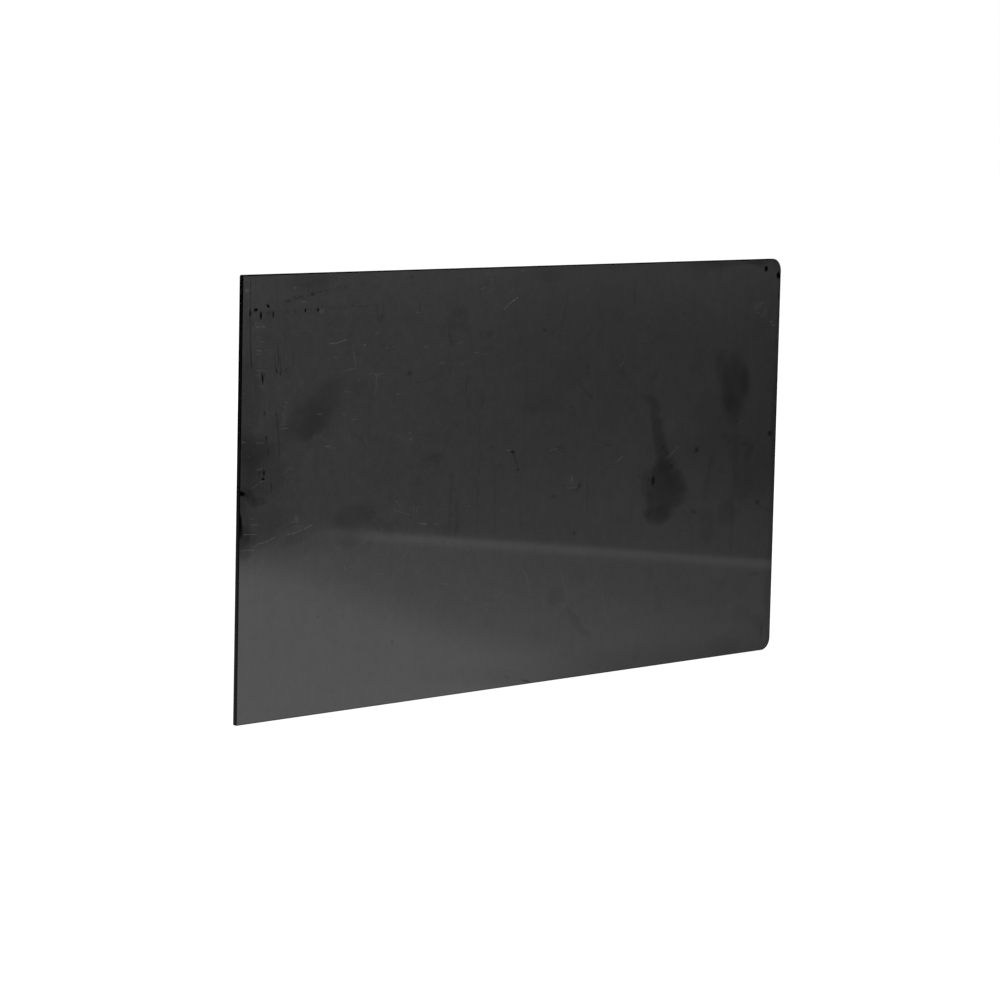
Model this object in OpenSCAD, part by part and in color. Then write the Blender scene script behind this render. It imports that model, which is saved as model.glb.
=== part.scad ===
// Kick plate for the foot of a door: one flat plastic sheet that is stuck on
// with strips of double-sided foam tape. It has no screw holes.
//
// Frame: the sheet stands on its long edge. X runs along its width, with the
// rounded end at +X. Z is up. The face that is kicked looks towards -Y and the
// door is on the +Y side. The origin is on the plane where the plate meets the
// door, in the middle of the centre strip.

/* [Plate] */
// Width of the sheet, the width of a 24 inch door less 2 inches
plate_w = 558.8; // [400:0.1:914.4]
// Height of the sheet
plate_h = 304.8; // [203.2:0.1:406.4]
// Thickness of the sheet, 1/8 inch stock
plate_t = 3.175; // [1.5:0.005:6.35]
// Radius of the two corners at the rounded end
end_corner_r = 9.5; // [2:0.5:20]
// Radius of the two corners at the end that was cut to length
cut_corner_r = 1.2; // [0.4:0.1:6]

/* [Mounting tape] */
// Width of each strip of tape
tape_w = 25.4; // [12.7:0.1:38.1]
// Thickness of the foam tape
tape_t = 1.14; // [0.6:0.01:2]
// Distance from the sheet's edge to the tape
tape_inset = 9; // [7:0.5:25]
// Space left between the end of a short strip and the long strip beside it
tape_gap = 8; // [6:0.5:20]

/* [Release liner] */
// Thickness of the liner paper
liner_t = 0.12; // [0.06:0.01:0.3]
// How far each liner runs past one end of its tape, to be pulled off by
liner_tab = 5; // [1:0.5:6]
// Radius of the corners of a liner's pull tab
tab_r = 3; // [0.5:0.5:6]

/* [Hidden] */
$fn = 96;
// A cut starts and ends this far outside what it cuts
over = 1;

// Planes from the door outwards
liner_y = 0;
tape_y = liner_y - liner_t;
plate_y = tape_y - tape_t;

// The long strips lie along the top and bottom edges of the sheet
long_len = plate_w - 2 * tape_inset;
long_z = plate_h / 2 - tape_inset - tape_w / 2;
// The short strips stand between them, one at each end and one in the middle
short_len = 2 * long_z - tape_w - 2 * tape_gap;
short_x = plate_w / 2 - tape_inset - tape_w / 2;

// A flat piece of thickness t whose +Y side lies on the plane y.
// Its outline is drawn in X and Z.
module flat_piece(y, t) {
    translate([0, y, 0]) rotate([90, 0, 0]) linear_extrude(t) children();
}

// What is cut away to round a corner that points to +X and +Z
module corner_waste(r) {
    difference() {
        translate([-r, -r]) square(r + over);
        translate([-r, -r]) circle(r);
    }
}

// A rectangle about the origin, with its corners rounded to r_right at the +X
// end and r_left at the -X end
module sheet_outline(w, h, r_left, r_right) {
    difference() {
        square([w, h], center = true);
        for (side = [0, 1]) mirror([0, side]) {
            translate([w / 2, h / 2]) corner_waste(r_right);
            mirror([1, 0]) translate([w / 2, h / 2]) corner_waste(r_left);
        }
    }
}

// A strip of tape: l long, about the origin, running along X
module tape_strip(l) {
    color("dimgray") flat_piece(tape_y, tape_t) square([l, tape_w], center = true);
}

// The liner on a strip of tape: as long as the tape, with the pull tab at +X
module tape_liner(l) {
    tab_end = l / 2 + liner_tab;
    color("ivory") flat_piece(liner_y, liner_t) difference() {
        translate([-l / 2, -tape_w / 2]) square([l + liner_tab, tape_w]);
        for (side = [0, 1]) mirror([0, side])
            translate([tab_end, tape_w / 2]) corner_waste(min(tab_r, liner_tab));
    }
}

// A long strip's place: up is 1 at the top edge and -1 at the bottom
module on_long_strip(up) {
    translate([0, 0, up * long_z]) children();
}

// A short strip's place: it stands upright, and along is -1 at the cut end,
// 0 in the middle and 1 at the rounded end
module on_short_strip(along) {
    translate([along * short_x, 0, 0]) rotate([0, -90, 0]) children();
}

module face_plate() {
    color([0.09, 0.09, 0.09]) flat_piece(plate_y, plate_t)
        sheet_outline(plate_w, plate_h, cut_corner_r, end_corner_r);
}

module tape_top() { on_long_strip(1) tape_strip(long_len); }
module tape_bottom() { on_long_strip(-1) tape_strip(long_len); }
module tape_cut_end() { on_short_strip(-1) tape_strip(short_len); }
module tape_centre() { on_short_strip(0) tape_strip(short_len); }
module tape_round_end() { on_short_strip(1) tape_strip(short_len); }

module liner_top() { on_long_strip(1) tape_liner(long_len); }
module liner_bottom() { on_long_strip(-1) tape_liner(long_len); }
module liner_cut_end() { on_short_strip(-1) tape_liner(short_len); }
module liner_centre() { on_short_strip(0) tape_liner(short_len); }
module liner_round_end() { on_short_strip(1) tape_liner(short_len); }

face_plate();
tape_top();
tape_bottom();
tape_cut_end();
tape_centre();
tape_round_end();
liner_top();
liner_bottom();
liner_cut_end();
liner_centre();
liner_round_end();
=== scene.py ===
"""The looks of a black plastic kick plate with foam tape on its back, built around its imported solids."""

import math

import bmesh
import bpy
from mathutils import Matrix, Vector


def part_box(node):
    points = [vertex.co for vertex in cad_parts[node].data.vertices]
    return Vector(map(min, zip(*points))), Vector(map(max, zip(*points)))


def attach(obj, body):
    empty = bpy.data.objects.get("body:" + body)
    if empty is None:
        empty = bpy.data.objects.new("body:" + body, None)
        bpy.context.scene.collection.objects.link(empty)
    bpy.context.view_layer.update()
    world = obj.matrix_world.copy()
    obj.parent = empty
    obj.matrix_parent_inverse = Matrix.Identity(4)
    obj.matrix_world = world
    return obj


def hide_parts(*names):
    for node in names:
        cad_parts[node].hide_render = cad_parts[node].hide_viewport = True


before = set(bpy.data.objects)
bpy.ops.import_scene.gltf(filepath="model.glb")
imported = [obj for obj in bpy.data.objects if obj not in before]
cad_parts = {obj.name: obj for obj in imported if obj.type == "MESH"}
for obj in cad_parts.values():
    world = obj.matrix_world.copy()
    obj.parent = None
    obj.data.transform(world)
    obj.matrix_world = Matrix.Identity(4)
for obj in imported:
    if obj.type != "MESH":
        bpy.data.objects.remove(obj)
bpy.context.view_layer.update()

MM = 0.001
PLATE_LOW, PLATE_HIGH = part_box("face_plate")
FRONT_Y = PLATE_LOW.y
BACK_Y = PLATE_HIGH.y
FLOOR_Z = PLATE_LOW.z
HALF_W_MM = PLATE_HIGH.x / MM
HALF_H_MM = PLATE_HIGH.z / MM

# ---- The sheet's edges, in millimetres ----
ROUND_END_R = 9.5
CUT_END_R = 1.2
FRONT_EASE = 0.7
BACK_EASE = 0.25
SMALLEST_R = 0.3
EASE_STEPS = 4
ARC_STEPS = 14

# The kicked face is cut into zones, so that a spot is shaded with only the marks near it
ZONE_EDGES_X = (-240.0, -190.0, -110.0, 10.0, 130.0)
ZONE_EDGES_Z = (0.0,)
ZONE_MARGIN = 6.0

# ---- Marks on the kicked face, in millimetres from its middle ----
# Soft patches where handling has wiped the haze away:
# x, z, half length, half width, share of the haze that is gone, and a turn in degrees if it has one
WIPED_PATCHES = [
    # the oval smudge near the cut end
    (-217, 52, 26, 18, 0.3, 24),
    (-215, 47, 15, 11, 0.24, 20),
    (-203, 64, 23, 17, 0.2, 42),
    (-198, 71, 14, 10, 0.1, 20),
    (-191, 58, 12, 9, 0.12),
    (-233, 47, 8, 4, 0.12, -20),
    (-226, 60, 8, 6, 0.08),
    (-199, 46, 9, 7, 0.12, 30),
    # the smudge below it
    (-174, -17, 23, 11, 0.25, 4),
    (-187, -20, 10, 7, 0.07, 10),
    (-160, -13, 11, 9, 0.09, -10),
    (-177, -37, 9, 15, 0.09),
    (-176, -32, 19, 8, 0.22),
    (-157, -36.5, 4.5, 2.6, 0.2),
    (-163, -41, 9, 5, 0.12, 8),
    (-185, -50, 7, 9, 0.06),
    # the oval near the rounded end, with its pointed foot
    (229, 55, 30, 20, 0.36, 86),
    (232, 56, 23, 15, 0.14, 80),
    (227, 38, 15, 10, 0.26, 95),
    (241, 58, 13, 7, 0.26, 100),
    (213, 70, 17, 9, 0.28, 100),
    (219, 51, 19, 8, 0.18, 100),
    (226, 74, 8, 9, 0.12, 90),
    (207, 79, 7, 6, 0.12),
    (224, 82, 18, 4, 0.12),
    # the body of the teardrop
    (149, -19, 28, 22, 0.48, 95),
    (152, -20, 20, 16, 0.26, 90),
    (160, -14, 19, 11, 0.32, 126),
    (168, -11, 12, 6, 0.26, 126),
    (167, -29, 9, 5, 0.34, 20),
    (165, -12, 58, 44, 0.1),
    (170, -20, 9, 6, 0.42),
    (144, -38, 17, 9.5, 0.54, 5),
    (134, -27, 15, 6, 0.34, 90),
    (131, -35, 7, 4, 0.35, -10),
    (128, -12, 14, 6, 0.24, 90),
    (143, -2, 11, 8, 0.32, 30),
    (156, 1, 9, 7, 0.26),
    # the worn edge at the cut end
    (-281, 20, 38, 22, 0.5, 90),
    (-247, 43, 17, 16, 0.18),
    (-262, 5, 11, 10, 0.24),
    (-270, 34, 20, 14, 0.3),
    (-262, 30, 17, 15, 0.22, 50),
    (-256, 18, 22, 26, 0.26, 30),
    (-268, 1, 10, 5, 0.5, 125),
    (-274, 5, 8, 5, 0.4, 150),
    (-261, -1, 9, 3.5, 0.3),
    (-281, -9, 18, 14, 0.34, 100),
    (-276, -25, 12, 8, 0.5, 60),
    (-270, -27, 9, 6, 0.26),
    (-274, -35, 8, 6, 0.46),
    (-260, -18, 28, 18, 0.28, 10),
    (-238, 8, 20, 34, 0.09),
    (-275, 71, 37, 18, 0.23, 90),
    (-226, -28, 20, 6, 0.16, 12),
    (-232, -14, 16, 9, 0.06),
    # smears along the top edge
    (-221, 147, 24, 8, 0.24, 6),
    (-208, 145, 18, 7, 0.16, 10),
    (18, 147, 19, 9, 0.16),
    (-49, 142, 8, 9, 0.06),
    (194, 149, 30, 6, 0.22),
    (208, 144, 2, 8, 0.14),
    (225, 152, 80, 5, 0.26),
    (250, 151, 20, 3.5, 0.34),
    (255, 148.5, 9, 4, 0.34, -8),
    (274, 148, 5, 6, 0.26, 45),
    # faint spots on the upper part
    (-74, 119, 15, 9, 0.12, 20),
    (-75, 121, 8, 4, 0.1, 30),
    (-65, 110, 9, 6, 0.14, -20),
    (-79, 110, 6, 7, 0.1),
    (-42, 105, 5, 4, 0.16),
    (-151, 120, 5, 3.5, 0.24),
    (-120, 117, 9, 8, 0.12),
    (40, 72, 34, 16, 0.07, 25),
    (18, 50, 26, 8, 0.06),
    (-180, 109, 5, 3, 0.12, 30),
    (-170, 74, 10, 8, 0.12),
    (-98, 18, 18, 7, 0.14, 12),
    (-96, 20, 12, 2.4, 0.12, 6),
    (-84, 73, 4, 1.6, 0.16),
    (-94.5, 67, 4, 1.6, 0.12),
    (-62, 55, 4, 5, 0.1),
    (-48, 60, 5, 6, 0.12),
    (27, 83, 5, 3, 0.1),
    (62, 76, 4, 6, 0.12),
    (8, 52, 26, 8, 0.06),
    (135, 67, 6, 4, 0.1, 20),
    (99, 72, 6, 4, 0.1),
    (180, 72, 9, 4, 0.1),
    (182, 80, 6, 3, 0.06),
    # faint spots on the lower part
    (33, -90, 13, 8, 0.18, 6),
    (29, -91, 7, 6, 0.12),
    (57, -77, 12, 9, 0.14, 20),
    (48, -66, 16, 8, 0.07),
    (-33, -75, 8, 4, 0.1),
    (-10, -80, 5, 7, 0.09),
    (-36, -104, 9, 3, 0.08),
    (20, -118, 20, 8, 0.07),
    (135, -81, 11, 5, 0.14, -40),
    (147, -106, 9, 5, 0.16, 60),
    (144, -98, 10, 3, 0.1, 90),
    (122, -94, 44, 11, 0.05, -5),
    (205, -102, 60, 14, 0.07, -4),
    (222, -144, 22, 9, 0.2, -4),
    (225, -150, 18, 4, 0.2),
    (124, -142, 9, 4, 0.16, 60),
    (244, -122, 15, 10, 0.17),
    (265, -130, 12, 8, 0.32, -20),
    (268, -137, 9, 3, 0.44, 88),
    (-78, -33, 12, 7, 0.16),
    (171, -85, 4, 3, 0.1),
    (179, -94, 5, 2.5, 0.08),
    # round the rounded end
    (223, -42, 15, 13, 0.26),
    (200, -50, 12, 20, 0.2),
    (203, 30, 26, 34, 0.14),
    (247.5, 3.5, 10, 7, 0.3, 55),
    (241, 10.5, 7, 3.4, 0.26),
    (219, 17, 4, 3, 0.18),
    (234.5, 17, 3.5, 2, 0.2, -20),
    (262, -14, 18, 26, 0.16),
    (241, -18, 14, 22, 0.22),
    (240, -6, 60, 46, 0.13),
    (230, 12, 10, 26, 0.1),
    (184, -38, 5, 3, 0.22, -20),
    (258, -92, 10, 2, 0.28, 4),
    (280, 20, 60, 10, 0.34, 90),
    (280, -45, 40, 10, 0.28, 90),
    (279, -112, 60, 11, 0.42, 90),
    (280, 100, 50, 6, 0.14, 90),
]
# Soft bands of the same kind: x and z of the two ends, half width, share gone
WIPED_BANDS = [
    # the teardrop's tail
    (124, 52, 133, 51, 4, 0.14),
    (131, 50, 136, 46, 6, 0.28),
    (136, 46, 139, 32, 6.5, 0.3),
    (139.5, 32, 143, 20, 7.5, 0.38),
    (143, 20, 147, 8, 9, 0.46),
    (147, 8, 150, 0, 9.5, 0.36),
    # the smudge's wedge, and a faint line from the oval's foot
    (-156, -20, -138, -29, 6.5, 0.18),
    (217, 38, 209, 26, 1.8, 0.14),
    # the smeared edge of the foot
    (18, -151, 62, -151, 3, 0.2),
    # a heel mark
    (47, -101, 56, -111, 3.4, 0.24),
    (53, -107, 63, -119, 4.4, 0.3),
    (60, -118, 70, -122, 3.2, 0.28),
    # rub lines down the sheet
    (231, 14, 231, -16, 3.6, 0.16),
    (231, -14, 229, -34, 3.2, 0.14),
    (229, -34, 229, -70, 3, 0.14),
    (214, -48, 214, -68, 3, 0.08),
    (203.5, 2, 199.5, -16, 3.6, 0.17),
    (199.5, -16, 197.5, -27, 3.8, 0.12),
    (183, -48, 183, -66, 2.5, 0.08),
    (116, 60, 114, -54, 1.6, 0.05),
    (65, -8, 65, -28, 1.6, 0.14),
    (-48.5, 64, -50, 4, 1.3, 0.12),
    (-51, 4, -50, -40, 1.6, 0.13),
    (-33, 10, -33, -38, 1.5, 0.12),
    (-1.5, 80, -2, 56, 1.2, 0.11),
    (-3.5, 52, -5, 30, 1.3, 0.13),
    (-5, 20, -6, -38, 1.2, 0.1),
    (-30, 110, -31, 24, 1.3, 0.05),
    (-78, 6, -78, -34, 2.4, 0.18),
    (-71.5, -14, -71.5, -37, 2.6, 0.2),
    (-64.8, 75, -64.8, 64, 1.6, 0.24),
    (-81, 82, -81, 77, 1.5, 0.16),
    (-131, 20, -130, -24, 1.4, 0.07),
    (-160, 66, -160, 34, 1.3, 0.1),
    (-120.7, 78, -120.7, 72, 1, 0.18),
    (-119, -46, -119, -53, 1, 0.14),
    (38.5, 133, 38.5, 126, 1.6, 0.14),
    (39, 124, 33, 108, 1.6, 0.18),
    (33, 108, 31.5, 101, 1.5, 0.12),
    (112, 134, 112.5, 123, 1.6, 0.14),
    (224, -92, 203, -113, 2.2, 0.11),
    (260, -38, 277, -44, 1.3, 0.22),
    (50, 68, 66, 55, 2.2, 0.1),
    (238, 107, 247, 105, 1, 0.16),
    (249, 9, 254, 7.5, 1.2, 0.16),
    (-114, 74, -97, 75.5, 1.2, 0.14),
    (-114, 71.5, -100, 72, 0.9, 0.1),
    (-173, 42, -162, 30, 1.2, 0.14),
    (-168, 42, -166, 36, 1, 0.1),
    (-83.6, 114, -83, 107, 1, 0.18),
    (-83, 108, -80, 99.5, 1.2, 0.28),
    (-49, 96, -44.5, 93, 1, 0.16),
    (-44.5, 93, -45.5, 88.5, 1, 0.16),
    (165, -33, 188, -46, 1.4, 0.14),
    (168, -38, 180, -46, 1.2, 0.1),
    (-281, 152, -230, 152, 1.6, 0.3),
    # a row and a band left by old tape
    (-270, 128, -152, 128, 1.6, 0.06),
    (-243, 133.6, -182, 142.6, 2.8, 0.12),
    # thin dark lines low on the sheet
    (-215, -136, -192, -138, 1, 0.05),
    (-195, -124.5, -179, -125.5, 1, 0.05),
    (-231, -130, -230, -145, 1.4, 0.05),
]
# Pits painted black, as the shade inside a nick: x, z, half length, half width, share of the light that
# they swallow, turn
SHADED_PITS = [
    # the corner at the cut end
    (-267, 128.8, 2.3, 1.4, 0.95),
    (-262.5, 124.7, 3.2, 1.3, 1, 90),
    (-256, 131, 2, 1.2, 1, -45),
    (-251.3, 125.4, 2.9, 0.9, 0.85, 90),
    (-271.8, 126.6, 2.4, 0.9, 0.45, 90),
    (-221.9, 127.2, 1.8, 1, 0.95, 90),
    (-210, 127.2, 1.7, 1.6, 0.72, 90),
    (-272.4, 127, 3.6, 1.1, 0.4, 85),
    # the worn strip at the cut end
    (-260.2, 82.6, 4.4, 1, 0.9, 97),
    (-247.6, 86.8, 1.7, 0.7, 0.5, 90),
    (-261.8, 18.4, 2.2, 1.4, 0.36, 90),
    (-257.6, 18.2, 2.8, 1.6, 0.7, 95),
    (-258.2, 14.2, 2, 1.4, 0.9),
    (-277.4, 5.6, 4.4, 2.2, 1, -12),
    (-273.4, 4, 3.4, 1.6, 0.18, -20),
    (-279.2, -14, 9, 3, 1, 90),
    (-278.2, -20, 7, 3.4, 0.75, 85),
    (-276.8, -27, 7, 3.8, 0.26, 90),
    (-250.4, 8.2, 3.6, 0.6, 0.12, 96),
    # the rest of the face
    (-16, 19, 2.6, 1.2, 0.36, -10),
    (137.2, -11.4, 3.8, 1.9, 0.75, 82),
    (186.2, 8.8, 2.2, 1.7, 0.26, 70),
    (271.8, 17.2, 2.8, 2.3, 0.26),
    (261.3, 144.8, 2.8, 2.5, 0.9, 80),
    (276.2, 139.4, 3.2, 2.8, 0.9, 90),
    (277, 123.4, 3.2, 1.2, 0.4, 90),
    (4.4, -150.2, 5.6, 0.9, 0.4, -14),
]
# Small dark specks, where only the haze is gone: x, z, half length, half width, share gone, turn
SPECKS = [
    # the row left by old tape
    (-256.9, 125.8, 2, 0.6, 0.6, 90),
    (-255.3, 126.2, 1.9, 0.6, 0.65, 90),
    (-253.7, 126.6, 1.8, 0.5, 0.5, 90),
    (-241.7, 125.2, 2.2, 0.5, 0.25, 90),
    (-238, 126.8, 1.6, 1.2, 0.32),
    (-230.8, 126.6, 2.2, 0.7, 0.42, 90),
    (-198.8, 127.8, 2.2, 0.5, 0.32, 90),
    (-196.8, 127.8, 2.2, 0.5, 0.32, 90),
    (-194.6, 127.8, 2.2, 0.5, 0.36, 90),
    (-184.2, 127.8, 2.6, 0.7, 0.42, 90),
    (-177, 129, 2, 1, 0.28),
    (-170.4, 128.6, 2.4, 0.9, 0.28),
    (-155.6, 129.4, 2.6, 0.6, 0.36),
    (-121.6, 147.8, 1.5, 1.3, 0.45),
    # the dotted band under the top edge
    (-238, 133.6, 4, 1.3, 0.36, 8),
    (-236.4, 134.6, 1.8, 1, 0.3, 20),
    (-230.8, 135.6, 2, 0.9, 0.5),
    (-227.4, 136.4, 1.6, 0.9, 0.5, 20),
    (-232, 136.8, 2.4, 0.5, 0.2),
    (-224, 136.4, 1.2, 0.7, 0.3),
    (-219.6, 137.2, 1.3, 0.8, 0.4),
    (-215.3, 138, 2.4, 1.5, 0.8, 12),
    (-211.4, 138.9, 1.4, 0.8, 0.42, 12),
    (-207.6, 139.6, 1.4, 0.9, 0.4, 12),
    (-203.4, 140.3, 1.3, 0.8, 0.42, 12),
    (-199.8, 140.9, 1.3, 0.8, 0.36, 12),
    (-196.2, 141.4, 1.3, 0.7, 0.3, 12),
    (-192.2, 142, 1.5, 0.9, 0.4, 12),
    (-188.4, 142.2, 1.1, 0.7, 0.26, 12),
    (-184.6, 142.4, 1.5, 0.8, 0.4, 12),
    # the worn strip at the cut end
    (-258.6, 85, 2.4, 0.6, 0.5, 90),
    (-247.4, 87.4, 2.6, 1, 0.5, 90),
    (-243.6, 85, 2, 0.9, 0.65, 90),
    (-238.8, 87.8, 1.9, 0.9, 0.55, 90),
    (-257.8, 58.6, 2.4, 1, 0.72, 90),
    (-247.5, 57.7, 1.7, 1.3, 0.62),
    (-255.8, 41.8, 2.8, 1.3, 0.75, 94),
    (-253.6, 32.4, 3.6, 1, 0.62, 98),
    (-260, 17.6, 5, 4.2, 0.4),
    (-262.6, 15, 2.2, 1, 0.3, 60),
    (-243, 38, 1, 0.8, 0.3),
    (-272, -26, 4.6, 3.4, 0.5, 90),
    (-250.4, 8.2, 4, 0.9, 0.5, 96),
    # specks over the rest of the face
    (-121, 80.2, 3, 2.5, 0.52),
    (15, 106.2, 3.8, 1.5, 0.36, -10),
    (18.8, 116.8, 3.8, 1.2, 0.2, 10),
    (-37, 24, 1.8, 1.5, 0.3),
    (-51.5, 105.2, 3.2, 1, 0.32, 95),
    (-15.2, 19, 3.4, 2.2, 0.6, -20),
    (-13.4, 15.6, 2.4, 1.2, 0.55, -50),
    (-12, 13, 2.3, 0.9, 0.5),
    (-11.4, 11.2, 2.2, 0.9, 0.5),
    (-10.4, 8.6, 1.3, 0.8, 0.3, -60),
    (-9.7, 5.8, 2.3, 1.5, 0.62, -20),
    (45.6, 48.6, 3.4, 0.9, 0.24, 14),
    (49, 43.6, 2.4, 1, 0.2, 60),
    (66.6, 55, 2.4, 1.8, 0.26, -40),
    (29, -16.2, 2.8, 1.2, 0.36),
    (28.4, -18.8, 2, 1, 0.2),
    (56.2, -10, 3.4, 2.6, 0.5, 20),
    (53.8, -12.6, 2.6, 1.4, 0.4, 20),
    (51.5, -45, 2.4, 2.2, 0.45),
    (132.4, -10.2, 2.6, 2, 0.45),
    (157.8, -1.8, 3.2, 2.5, 0.6, -20),
    (148, 13.4, 2.4, 1.6, 0.6, -30),
    (151.6, 9.6, 3.2, 1.2, 0.5, -45),
    (121.4, -6.8, 2.2, 2, 0.34),
    (185.8, 8.8, 3.4, 2.8, 0.55, 40),
    (184, -38.2, 2.8, 1.7, 0.34, -20),
    (166.4, 113.2, 3, 1.5, 0.28, -56),
    (201, 123.2, 5, 1.2, 0.24, -24),
    (123, 91.8, 3.6, 1, 0.2, -14),
    (271.8, 17.2, 4.2, 3.6, 0.6),
    (184, 10, 8, 5, 0.12),
    (137, -11.4, 6, 4, 0.3, 80),
    (259.2, -35.7, 3.2, 2.3, 0.8),
    (231.6, 28.8, 2.4, 1.7, 0.4),
    (223.6, 13, 2.4, 1.6, 0.24),
    (276.4, 140, 5, 4, 0.55, 90),
    (268.6, -137, 7, 2.2, 0.5, 90),
    (-205.2, -84.5, 1.7, 1.3, 0.5),
    (-133.3, -108.8, 2.1, 1.6, 0.6, 100),
    (-233.2, -149.8, 2, 1.2, 0.4, 90),
    (-266, -69, 4, 3, 0.1),
    (-77, -125.6, 2.6, 1.2, 0.12),
    (-16.6, -144.8, 4.8, 1.4, 0.4, -16),
    (2.4, -149.6, 8, 1.6, 0.45, -14),
]
# Dark lines scored into the face: x and z of the two ends, half width, share of the haze that is gone
SCORES = [
    (-272.2, 149, -272.2, 128, 0.65, 0.5),
    (-272.2, 128, -271.6, 104, 0.8, 0.5),
    (-271.6, 104, -270.2, 90, 0.85, 0.62),
    (-266, 89.2, -256.4, 88.8, 0.6, 0.2),
    (-271.6, 122, -268.6, 119, 0.7, 0.24),
    (-267.8, 149.5, -267.6, 145.5, 0.6, 0.35),
    (-246.4, 104, -245.8, 91, 0.6, 0.5),
    (-249.6, 99, -248.2, 88, 0.5, 0.42),
    (-244.6, 97, -243.4, 85, 0.6, 0.55),
    (-232.4, 100, -231.8, 91, 0.6, 0.32),
    (-246.7, 57, -243.4, 29, 0.6, 0.45),
    (-154.2, 129, -153.8, 124, 0.6, 0.4),
    (-154.2, 124, -153, 119, 0.5, 0.24),
    (-148.4, 128.6, -148.6, 121.6, 0.6, 0.34),
    (-112.8, 128.6, -112.4, 123.4, 0.8, 0.38),
    (-115, 127, -114.8, 123.6, 0.5, 0.22),
    (32.4, 19.8, 38.8, 18, 0.8, 0.3),
    (80, 20.2, 90, 17.2, 0.8, 0.26),
    (-279, -21.2, -266, -21.8, 0.6, 0.4),
]
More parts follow.
